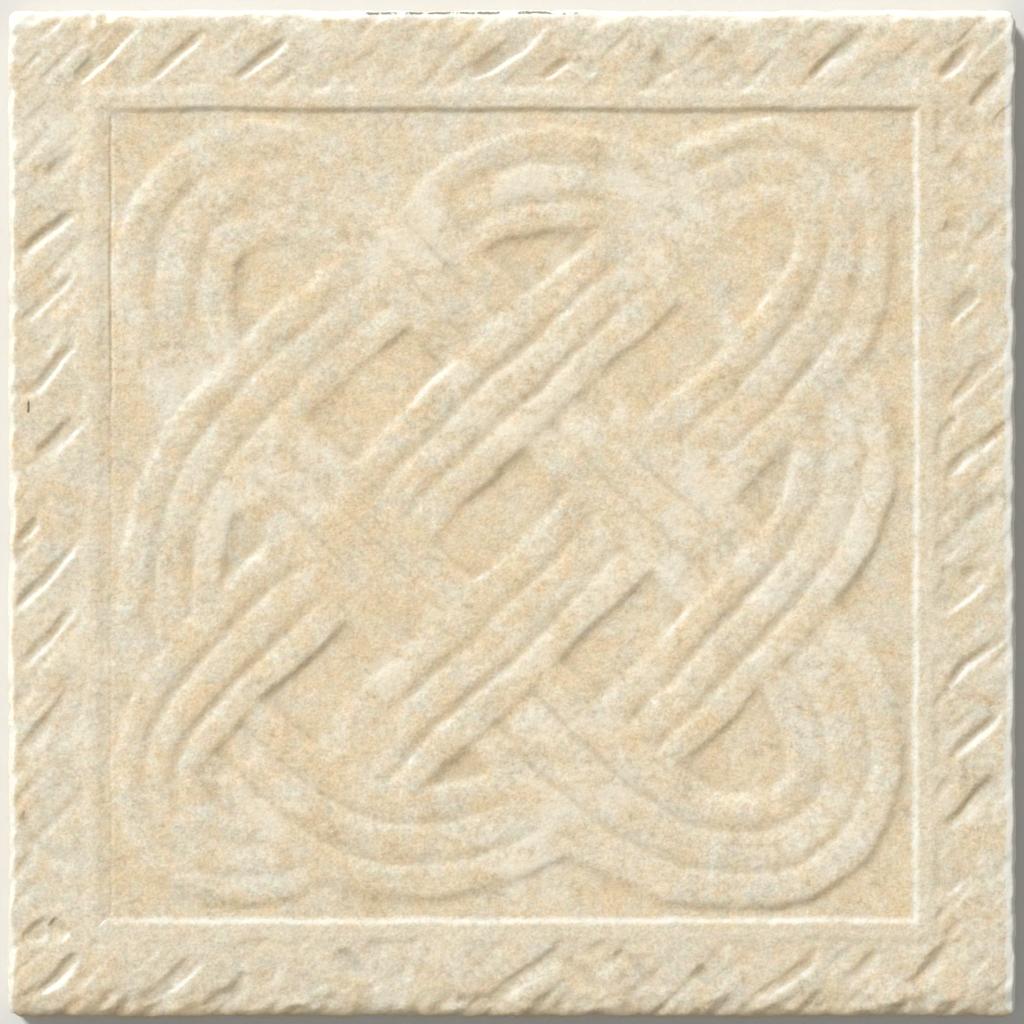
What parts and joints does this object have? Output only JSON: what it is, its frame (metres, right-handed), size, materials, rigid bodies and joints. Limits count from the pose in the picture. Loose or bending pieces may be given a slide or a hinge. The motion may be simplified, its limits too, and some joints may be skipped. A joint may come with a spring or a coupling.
{
  "type": "decorative tile",
  "caption": "Square ceramic tile with a low-relief interlace of corded ribbons in a sunken panel, a raised fillet and a groove-cut border with worn, wavy edges.",
  "frame": {"origin": "centre of the flat back, where the tile rests or is bonded", "axes": "+Z out of the decorated face; +Y towards the side at the top of the picture, +X towards its right side"},
  "size_m": [0.2, 0.2, 0.01],
  "materials": {
    "ceramic_body": "matt, stone-coloured, mottled cream and tan with a fine tan speckle"
  },
  "bodies": {
    "root": {"tile": "ceramic_body"}
  },
  "joints": []
}
